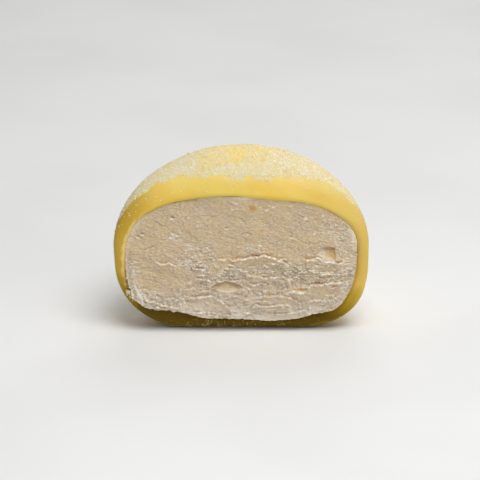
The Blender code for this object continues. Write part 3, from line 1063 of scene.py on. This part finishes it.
@dataclass
class DoughSkin:
    """The rice-dough shell, with its drawn-down shoulder, its lip and its dusted outside."""

    form: MochiForm
    shift: Vector
    segments: int = 400
    cavity_rings: int = 20
    outside_rings: int = 170
    lip_steps: int = 30
    outside_steps: int = 300
    inset: float = 0.00012
    rounding: float = 0.0005
    finest_share: float = 0.33
    dust_border_mm: tuple[tuple[float, float], ...] = (
        (-22.0, 1.6), (-20.5, 1.3), (-18.1, 1.35), (-15.0, 1.65), (-11.7, 1.7), (-7.1, 1.2), (-2.5, 0.8),
        (2.0, 0.75), (5.1, 0.6), (9.5, 1.15), (12.6, 1.8), (15.7, 2.0), (18.2, 1.5), (20.0, 1.8),
        (22.0, 2.6),
    )
    dust_fade_mm: float = 1.1
    clump: tuple[float, float] = (2.0, 9.0)
    clump_size: Triple = (1.5, 1.3, 0.22)

    @property
    def rings(self) -> int:
        """All rings from the cavity's rear over the lip to the outside's rear."""
        return self.cavity_rings + self.outside_rings

    def build(self) -> Piece:
        """Models the shell from a sphere whose one pole is pressed in.

        Returns:
            The finished piece.
        """
        start_piece()
        radius = self.form.width / 2
        bpy.ops.mesh.primitive_uv_sphere_add(segments=self.segments, ring_count=self.rings, radius=radius)
        piece = bpy.context.object
        sphere = coordinates(piece.data)
        height = np.clip(sphere[:, 2] / radius, -1.0, 1.0)
        ring = np.rint(self.rings * (np.arcsin(-height) / math.pi + 0.5)).astype(int)
        turn = np.arctan2(sphere[:, 1], sphere[:, 0]) / (2 * math.pi)
        segment = np.rint(turn * self.segments).astype(int) % self.segments
        around = np.linspace(0, 2 * math.pi, self.segments, endpoint=False)
        around = np.where(around > math.pi, around - 2 * math.pi, around)
        grid = self._press(around)
        outside = np.arange(self.rings + 1) > self.cavity_rings
        marks = self._marks(grid, around, outside)
        grid = self._roughen(grid, outside, marks[Mark.DUST])
        set_coordinates(piece.data, keep_in_box(grid[ring, segment] + np.array(self.shift)))
        for mark, values in marks.items():
            write_mark(piece.data, mark, values[ring, segment])
        dress(piece, "dusted_dough_skin", DoughFinish().build())
        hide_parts(Node.SKIN.value)
        return piece

    def _press(self, around: Array) -> Array:
        """Works out the shell's rings.

        Args:
            around: The angle of each meridian in the cut face.

        Returns:
            The points as rings by meridians, from the cavity's rear to the outside's rear.
        """
        form = self.form
        thickness = form.skin_thickness(around)
        still = np.zeros_like(around)
        shares = [1 - ring / self.cavity_rings for ring in range(self.cavity_rings + 1)]
        cavity = [form.point(around, still + share, thickness) for share in shares]
        wavy = 0.07 * MM * (noise_at(cavity[-1], 2.0 * MM, 27.0) + 0.8 * noise_at(cavity[-1], 0.7 * MM, 28.0))
        inner = form.point(around, still, thickness + wavy)
        edge = form.point(around, still, self.inset)
        lip = []
        for share in np.linspace(0, 1, self.lip_steps, endpoint=False):
            points = inner + (edge - inner) * share
            points[:, 1] -= form.lip_bulge * math.sin(math.pi * share**0.75)
            lip.append(points)
        shares = np.linspace(0, 1, self.outside_steps)
        outside = [form.point(around, still + share, self.inset) for share in shares]
        rounded = self._round_off(np.stack(lip + outside))
        grid = np.concatenate((np.stack(cavity), rounded[1:]))
        for pole in (0, -1):
            grid[pole] = grid[pole].mean(axis=0)
        return grid

    def _round_off(self, lines: Array) -> Array:
        """Rounds the edge between lip and outside, and spaces the rings closely near the cut.

        Args:
            lines: Fine meridians from the lip's inner edge to the rear.

        Returns:
            The rounded meridians, one point for each ring.
        """
        steps = np.linalg.norm(np.diff(lines, axis=0), axis=2)
        length = np.concatenate((np.zeros((1, lines.shape[1])), np.cumsum(steps, axis=0)))
        count = 900
        even = np.empty((count, *lines.shape[1:]))
        for column in range(lines.shape[1]):
            at = np.linspace(0, length[-1, column], count)
            for axis in range(3):
                even[:, column, axis] = np.interp(at, length[:, column], lines[:, column, axis])
        reach = self.rounding / (length[-1].mean() / count)
        spread = int(3 * reach)
        before = 2 * even[:1] - even[spread:0:-1]
        after = 2 * even[-1:] - even[-2:-spread - 2:-1]
        padded = np.concatenate((before, even, after))
        weights = np.exp(-0.5 * (np.arange(-spread, spread + 1) / reach) ** 2)
        weights /= weights.sum()
        smooth = sum(weight * padded[start:start + count] for start, weight in enumerate(weights))
        share = np.arange(self.outside_rings + 1) / self.outside_rings
        at = (count - 1) * (self.finest_share * share + (1 - self.finest_share) * share**2)
        low = np.minimum(at.astype(int), count - 2)
        part = (at - low)[:, None, None]
        return smooth[low] * (1 - part) + smooth[low + 1] * part

    def _marks(self, grid: Array, around: Array, outside: Array) -> dict[Mark, Array]:
        """Works out the dusting, the smear, and the painted light and painted shade of the dough.

        Args:
            grid: The points.
            around: The angle of each meridian.
            outside: Which rings lie outside the cavity.

        Returns:
            The values for each point.
        """
        shape = grid.shape[:2]
        flat = grid.reshape(-1, 3)
        x, y, z = (grid / MM).transpose(2, 0, 1)
        ragged = 0.35 * noise_at(flat, 2.4 * MM, 5.0) + 0.45 * noise_at(flat, 0.8 * MM, 9.0)
        border = np.interp(x, *np.transpose(self.dust_border_mm))
        border += 3.4 * ramp(17, 6, z) * ramp(13, 19, np.abs(x))
        half = self.dust_fade_mm / 2
        dust = ramp(-half, half, y - border + ragged.reshape(shape))
        thin = 0.5 + 0.5 * noise_at(flat, (6 * MM, 5 * MM, 6 * MM), 13.0).reshape(shape)
        bald = np.exp(-(((x + 1.0) / 8.5) ** 2) - ((y - 5.0) / 5.0) ** 2) * (z > 20.0)
        patch = np.exp(-(((x + 0.4) / 1.3) ** 2) - ((y - 4.4) / 1.5) ** 2) * (z > 20.0)
        dust = dust * (0.8 + 0.2 * ramp(0.2, 0.8, thin)) * (1 - 0.34 * bald) * (1 - 0.45 * patch)
        dust *= outside[:, None] * ramp(1, 4, z + 3.0 * (y > 4.0))
        dust *= 1 - 0.16 * ramp(8, 16, x) - 0.1 * ramp(-14, -18, x)
        # painted light: the dough is made paler towards the top and the right, and on the right side, where
        # the light falls
        painted_light = ramp(-0.3, 1.6, y) * ramp(8, 22, z + 0.35 * x) * (1 - 0.5 * dust)
        painted_light *= 1 - 0.6 * ramp(-1, -8, x)
        painted_light = np.maximum(painted_light, 0.45 * ramp(10, 17, x) * ramp(6, 14, z))
        # painted shade: darker gold to brown towards the foot, on the left side, near the lip's inner edge
        # under the filling's overhang, on the right front, and along the joint with the filling
        front = ramp(4.5, 0.8, y)
        side = 18.5 - 6.5 * ramp(-4, 4, x)
        low = 7.4 - 1.7 * ramp(11, 16, x) - 0.8 * ramp(-13, -18, x)
        golden_shade = (0.42 + 0.12 * ramp(-8, -16, x)) * ramp(side, 5.0, z)
        golden_shade = golden_shade + 0.55 * ramp(low, low - 4.6, z)
        inner = 1 - ramp(0, 2.4, self._from_rim(grid))
        right = ramp(8, 15, x)
        painted_shade = front * golden_shade * np.clip(0.9 - 0.14 * right + (0.4 + 0.25 * right) * inner, 0, 1)
        painted_shade = painted_shade + 0.2 * front * inner * ramp(2, -8, x) * ramp(12, 16, z)
        painted_shade = np.maximum(painted_shade, 0.32 * front * ramp(-10, -20, x))
        shaded = 0.16 * ramp(5, 14, x) + 0.05 * ramp(14, 20, x)
        painted_shade = np.maximum(painted_shade, ramp(6, 1, y) * shaded)
        seam_shade = ramp(0.45, 0.05, self._from_rim(grid)) * ramp(14, 20, z)
        seam_shade = seam_shade * ramp(0, 0.35, noise_at(flat, 4.5 * MM, 25.0)).reshape(shape)
        painted_shade = np.maximum(painted_shade, 0.5 * seam_shade)
        left = ramp(0.55, 0.2, np.abs(np.angle(np.exp(1j * (around - 3.0)))))
        teeth = 0.3 * noise_at(flat, 0.45 * MM, 21.0) + 0.25 * noise_at(flat, 1.1 * MM, 22.0)
        smear = 0.9 * left * ramp(1.05, 0.65, self._from_rim(grid) + teeth.reshape(shape))
        smear = smear * outside[:, None]
        marks = {Mark.DUST: dust, Mark.PAINTED_LIGHT: painted_light, Mark.PAINTED_SHADE: painted_shade, Mark.SMEAR: smear}
        return {mark: np.clip(values, 0, 1) for mark, values in marks.items()}

    def _from_rim(self, grid: Array) -> Array:
        """How far each point lies from the lip's inner edge, in millimetres."""
        return np.linalg.norm(grid - grid[self.cavity_rings], axis=2) / MM

    def _roughen(self, grid: Array, outside: Array, dust: Array) -> Array:
        """Adds the soft ripples of the pulled dough, the lumps of the dusting and one clump on the top.

        Args:
            grid: The points.
            outside: Which rings lie outside the cavity.
            dust: The dusting at each point.

        Returns:
            The moved points.
        """
        shape = grid.shape[:2]
        flat = grid.reshape(-1, 3)
        ripple = 0.045 * noise_at(flat, (6 * MM, 1.5 * MM, 2.2 * MM), 2.0).reshape(shape)
        lumps = noise_at(flat, 0.9 * MM, 7.0) + 0.6 * noise_at(flat, 0.4 * MM, 8.0)
        lumps = 0.05 * dust * lumps.reshape(shape)
        x, y, z = (grid / MM).transpose(2, 0, 1)
        away_x, away_y = (x - self.clump[0]) / self.clump_size[0], (y - self.clump[1]) / self.clump_size[1]
        bumpy = 1 + 0.8 * noise_at(flat, 0.8 * MM, 23.0).reshape(shape)
        clump = self.clump_size[2] * np.exp(-(away_x**2) - away_y**2) * bumpy * (z > 20.0)
        away = grid - np.array((0.0, 8 * MM, self.form.widest_at))
        away /= np.linalg.norm(away, axis=2, keepdims=True)
        height = (ripple + lumps + clump) * outside[:, None] * MM
        height[[0, -1]] = height[[0, -1]].mean(axis=1, keepdims=True)
        return grid + away * height[..., None]


@dataclass
class Filling:
    """The filling: its broken cut face on a fine grid, and its round body behind."""

    form: MochiForm
    face: CutFace
    shift: Vector
    columns: int = 344
    rows: int = 238
    body_rings: int = 10
    first_back: float = 0.12
    overlap_mm: float = -0.05
    left_overlap_mm: float = 0.17
    foot_back_mm: float = 0.58
    fray_mm: float = 0.1
    left_fray_mm: float = 0.16

    def build(self) -> Piece:
        """Models the face from a grid and draws the body out of its edge, ring by ring.

        Returns:
            The finished piece.
        """
        start_piece()
        bpy.ops.mesh.primitive_grid_add(
            x_subdivisions=self.columns, y_subdivisions=self.rows, size=2.0, rotation=(math.pi / 2, 0, 0)
        )
        bpy.ops.object.transform_apply(location=False, rotation=True, scale=False)
        piece = bpy.context.object
        self._carve_face(piece.data)
        self._draw_body(piece)
        dress(piece, "broken_filling", FillingFinish().build())
        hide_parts(Node.FILLING.value)
        return piece

    def _carve_face(self, mesh: bpy.types.Mesh) -> None:
        """Fits the grid to the filling's outline and carves its relief."""
        square = coordinates(mesh)
        across, up = square[:, 0], square[:, 2]
        rim_side = self.form.filling_rim(np.array((0.0, math.pi / 2)))
        half_width = rim_side[0, 0]
        half_height = rim_side[1, 2] - self.form.widest_at
        around = np.arctan2(up * half_height, across * half_width)
        level = np.maximum(np.abs(across), np.abs(up))
        rim = self.form.filling_rim(around)
        left = ramp(12.5, 8.5, rim[:, 2] / MM) * ramp(-6.5, -11, rim[:, 0] / MM)
        ragged = noise_at(rim, 0.8 * MM, 4.0) + 0.7 * noise_at(rim, 0.28 * MM, 6.0)
        cover = self.overlap_mm + self.left_overlap_mm * ramp(-14, -17.5, rim[:, 0] / MM)
        cover -= self.foot_back_mm * ramp(6, 3, rim[:, 2] / MM)
        fray = cover + (self.fray_mm + self.left_fray_mm * left) * ragged
        fray = 1 + fray * MM / half_width * ramp(0.93, 1, level)
        x = rim[:, 0] * level * fray
        z = self.form.widest_at + (rim[:, 2] - self.form.widest_at) * level * fray
        proud, marks = self.face.carve(x / MM, z / MM)
        points = np.stack((x, -proud * MM, z), axis=-1)
        set_coordinates(mesh, keep_in_box(points + np.array(self.shift)))
        write_mark(mesh, Mark.AROUND, around)
        for mark, values in marks.items():
            write_mark(mesh, mark, values)

    def _draw_body(self, piece: Piece) -> None:
        """Extrudes the face's edge back over the round body and closes it at the rear."""
        mesh = piece.data
        bpy.ops.object.mode_set(mode="EDIT")
        bpy.ops.mesh.select_mode(type="EDGE")
        bpy.ops.mesh.select_all(action="DESELECT")
        bpy.ops.mesh.select_non_manifold(
            extend=False, use_wire=False, use_multi_face=False, use_non_contiguous=False, use_verts=False
        )
        for number in range(self.body_rings):
            bpy.ops.mesh.extrude_region_move()
            bpy.ops.object.mode_set(mode="OBJECT")
            back = self.first_back + (0.97 - self.first_back) * number / (self.body_rings - 1)
            self._place_ring(mesh, back)
            bpy.ops.object.mode_set(mode="EDIT")
        bpy.ops.mesh.extrude_region_move()
        bpy.ops.mesh.merge(type="CENTER")
        bpy.ops.object.mode_set(mode="OBJECT")

    def _place_ring(self, mesh: bpy.types.Mesh, back: float) -> None:
        """Moves the ring that was just drawn out to its place on the body.

        Args:
            mesh: The filling's mesh, whose new ring is selected.
            back: The ring's share of the way from the cut to the rear.
        """
        chosen = np.empty(len(mesh.vertices), bool)
        mesh.vertices.foreach_get("select", chosen)
        around = read_mark(mesh, Mark.AROUND)[chosen]
        under = self.form.skin_thickness(around) + self.form.gap
        points = coordinates(mesh)
        points[chosen] = self.form.point(around, np.full_like(around, back), under) + np.array(self.shift)
        set_coordinates(mesh, points)


@dataclass
class Grains:
    """Many small lumps of one kind, joined in one mesh."""

    name: str
    seed: int
    subdivisions: int = 1

    def build(
        self, places: Array, normals: Array, radii: Array, flatness: float
    ) -> Piece:
        """Copies one lump to every place.

        Args:
            places: Where the lumps lie.
            normals: The way up from the surface at each.
            radii: Their radii.
            flatness: Their height as a share of their width.

        Returns:
            The joined piece, not yet dressed.
        """
        random = np.random.default_rng(self.seed)
        start_piece()
        bpy.ops.mesh.primitive_ico_sphere_add(subdivisions=self.subdivisions, radius=1.0)
        piece = bpy.context.object
        lump = coordinates(piece.data)
        faces = np.array([tuple(face.vertices) for face in piece.data.polygons])
        count = len(places)
        side = np.cross(normals, random.normal(size=(count, 3)))
        side /= np.linalg.norm(side, axis=1)[:, None]
        third = np.cross(normals, side)
        shapes = lump[None] * (1 + 0.35 * random.uniform(-1, 1, (count, len(lump), 1)))
        shapes = shapes * random.uniform(0.7, 1.3, (count, 1, 3))
        moved = shapes[..., :1] * side[:, None] + shapes[..., 1:2] * third[:, None]
        moved = moved + shapes[..., 2:] * flatness * normals[:, None]
        points = places[:, None] + moved * radii[:, None, None]
        joined = bpy.data.meshes.new(self.name)
        offsets = (np.arange(count) * len(lump))[:, None, None]
        corners = (faces[None] + offsets).reshape(-1, 3)
        joined.from_pydata(points.reshape(-1, 3).tolist(), [], corners.tolist())
        joined.update()
        old = piece.data
        piece.data = joined
        bpy.data.meshes.remove(old)
        return piece


def surface_samples(
    piece: Piece, weights: Array, count: int, seed: int
) -> tuple[Array, Array]:
    """Picks places on a piece's surface.

    Args:
        piece: The piece.
        weights: How wanted each face is, for each square metre.
        count: How many places.
        seed: Seeds the draw.

    Returns:
        The places and the surface's normals there.
    """
    mesh = piece.data
    random = np.random.default_rng(seed)
    faces = len(mesh.polygons)
    area, centre, normal = np.empty(faces), np.empty(faces * 3), np.empty(faces * 3)
    mesh.polygons.foreach_get("area", area)
    mesh.polygons.foreach_get("center", centre)
    mesh.polygons.foreach_get("normal", normal)
    order = face_order(mesh)
    share = (area * weights)[order]
    chosen = order[random.choice(faces, count, p=share / share.sum())]
    reach = np.sqrt(area[chosen])[:, None]
    normal = normal.reshape(-1, 3)[chosen]
    slide = random.uniform(-0.5, 0.5, (count, 3)) * reach
    slide -= normal * np.sum(slide * normal, axis=1)[:, None]
    return centre.reshape(-1, 3)[chosen] + slide, normal


def face_corners(mesh: bpy.types.Mesh) -> tuple[Array, Array]:
    """The point of each corner of the faces, and where each face's corners start."""
    corners, starts = np.empty(len(mesh.loops), int), np.empty(len(mesh.polygons), int)
    mesh.loops.foreach_get("vertex_index", corners)
    mesh.polygons.foreach_get("loop_start", starts)
    return corners, starts


def face_order(mesh: bpy.types.Mesh) -> Array:
    """The faces sorted by their corners, since a sphere's faces come in another order each run."""
    corners, starts = face_corners(mesh)
    low, high, total = (kind.reduceat(corners, starts) for kind in (np.minimum, np.maximum, np.add))
    return np.lexsort((total, high, low))


def face_means(mesh: bpy.types.Mesh, values: Array) -> Array:
    """The mean of a point value over each face."""
    corners, starts = face_corners(mesh)
    return np.add.reduceat(values[corners], starts) / np.diff(starts, append=len(corners))


@dataclass
class StarchDusting:
    """Loose starch grains on the dough, with strays on the clean stretch and along the foot."""

    skin: Piece
    shift: Vector
    count: int = 9900
    small: float = 0.000062
    largest: float = 0.00019
    spread: float = 0.5

    def build(self) -> Piece:
        """Scatters the grains.

        Returns:
            The finished piece.
        """
        mesh = self.skin.data
        dust = read_mark(mesh, Mark.DUST)
        places = coordinates(mesh) - np.array(self.shift)
        x, y, z = (places / MM).T
        clumps = ramp(0, 0.45, noise_at(places, 1.1 * MM, 19.0))
        edge = bell(dust - 0.45, 0.3) * (dust > 0.1)
        stray = 0.05 * (dust < 0.1) * (y > -0.2) * ramp(14, 22, z)
        side = 0.1 * (dust < 0.2) * (y > 0.0) * (np.abs(x) > 16.5) * (z > 14.0)
        foot = 5.0 * ramp(2.6, 0.6, z - 0.05 * x) * (z > 0.03) * (y < 1.6) * (0.15 + clumps)
        foot = foot * (0.15 + ramp(12, -4, x))
        wanted = dust * (0.2 + 0.6 * clumps) + 0.9 * edge * (0.15 + 1.1 * clumps) + stray + side + foot
        spots, normals = surface_samples(self.skin, face_means(mesh, wanted), self.count, 7)
        random = np.random.default_rng(8)
        radii = self.small * np.exp(self.spread * random.normal(size=self.count))
        radii = np.minimum(radii, self.largest) * np.where(spots[:, 2] < 3 * MM, 0.72, 1.0)
        piece = Grains("starch_grains", 9).build(spots + normals * radii[:, None] * 0.2, normals, radii, 0.75)
        set_coordinates(piece.data, keep_in_box(coordinates(piece.data)))
        dress(piece, "starch_grains", StarchFinish().build())
        return piece


@dataclass
class Crumbs:
    """Crumbs of filling that cling to the dough beside the torn margin."""

    form: MochiForm
    shift: Vector
    seed: int = 15
    torn: int = 12
    lone: tuple[Triple, ...] = ((-19.45, 7.2, 0.34), (-19.25, 6.9, 0.24), (-19.6, 6.75, 0.16))

    def build(self) -> Piece:
        """Lays the crumbs on the lip.

        Returns:
            The finished piece.
        """
        random = np.random.default_rng(self.seed)
        edge = self.form.filling_rim(random.uniform(-2.93, -2.66, self.torn))
        outward = edge - np.array((0.0, 0.0, self.form.widest_at))
        outward /= np.linalg.norm(outward, axis=1)[:, None]
        away = random.uniform(0.1, 0.6, self.torn) * MM
        places = edge + outward * away[:, None]
        radii = random.uniform(0.06, 0.15, len(places)) * MM
        for x, z, radius in self.lone:
            places = np.vstack((places, np.array((x, 0.0, z)) * MM))
            radii = np.append(radii, radius * MM)
        places[:, 1] = -0.45 * MM
        normals = np.tile((0.0, -1.0, 0.0), (len(places), 1))
        piece = Grains("filling_crumbs", 16, 2).build(places + np.array(self.shift), normals, radii, 0.8)
        dress(piece, "filling_crumbs", CrumbFinish().build())
        return piece


@dataclass(frozen=True)
class PhotoView:
    """How the photograph looks at the mochi: 480 pixels square, from a little above."""

    elevation_deg: float = 20.0
    distance: float = 0.45
    pixels_per_mm: float = 5.8476
    pixels: int = 480
    sensor_mm: float = 36.0
    aim_height: float = 0.01655
    aim_side: float = -0.00022

    def build(self, cut_y: float) -> None:
        """Sets up the camera.

        Args:
            cut_y: Where the cut plane lies.
        """
        data = bpy.data.cameras.new("photo_view")
        data.sensor_width = self.sensor_mm
        data.lens = self.sensor_mm * self.distance / (self.pixels / self.pixels_per_mm * MM)
        camera = bpy.data.objects.new("photo_view", data)
        bpy.context.scene.collection.objects.link(camera)
        aim = Vector((self.aim_side, cut_y, self.aim_height))
        lift = math.radians(self.elevation_deg)
        camera.location = aim + Vector((0, -math.cos(lift), math.sin(lift))) * self.distance
        camera.rotation_euler = (aim - camera.location).to_track_quat("-Z", "Y").to_euler()
        bpy.context.scene.camera = camera


@dataclass(frozen=True)
class SoftLight:
    """One square soft light that looks at the mochi."""

    name: str
    place: Triple
    size: float
    power: float

    def build(self) -> None:
        """Hangs the light."""
        data = bpy.data.lights.new(self.name, "AREA")
        data.size = self.size
        data.energy = self.power
        light = bpy.data.objects.new(self.name, data)
        bpy.context.scene.collection.objects.link(light)
        light.location = self.place
        light.rotation_euler = (Vector((0, 0, 0.012)) - light.location).to_track_quat("-Z", "Y").to_euler()


@dataclass
class Studio:
    """The plain pale floor and the soft light, mostly from above and a little from the right."""

    view: PhotoView = PhotoView()
    lights: tuple[SoftLight, ...] = (
        SoftLight("key", (0.095, -0.15, 0.42), 0.28, 1.45),
        SoftLight("rear", (0.06, 0.34, 0.32), 0.3, 0.42),
        SoftLight("fill", (0.23, -0.54, 0.22), 0.45, 0.52),
    )
    surround: float = 0.21
    floor_size: float = 4.0

    def build(self, cut_y: float) -> None:
        """Sets up floor, surround, lights and camera.

        Args:
            cut_y: Where the cut plane lies.
        """
        start_piece()
        bpy.ops.mesh.primitive_plane_add(size=self.floor_size, location=(0, 0, -0.00002))
        floor = bpy.context.object
        bpy.ops.object.transform_apply(location=True, rotation=False, scale=False)
        floor.name = "floor"
        floor.data.materials.append(FloorFinish().build())
        world = bpy.data.worlds.new("surround")
        world.use_nodes = True
        background = world.node_tree.nodes["Background"]
        background.inputs["Color"].default_value = (1.0, 1.0, 1.0, 1.0)
        background.inputs["Strength"].default_value = self.surround
        bpy.context.scene.world = world
        for light in self.lights:
            light.build()
        self.view.build(cut_y)
        bpy.context.scene.view_settings.view_transform = "Standard"


def main() -> None:
    """Builds the pieces in order and reports each."""
    logging.basicConfig(level=logging.INFO, format="%(name)s: %(message)s")
    form = MochiForm()
    shift = form.frame_shift()
    LOG.info("cut plane at %.5f", shift.y)
    skin = DoughSkin(form, shift).build()
    Filling(form, CutFace(form), shift).build()
    StarchDusting(skin, shift).build()
    Crumbs(form, shift).build()
    Studio().build(shift.y)


if __name__ == "__main__":
    main()
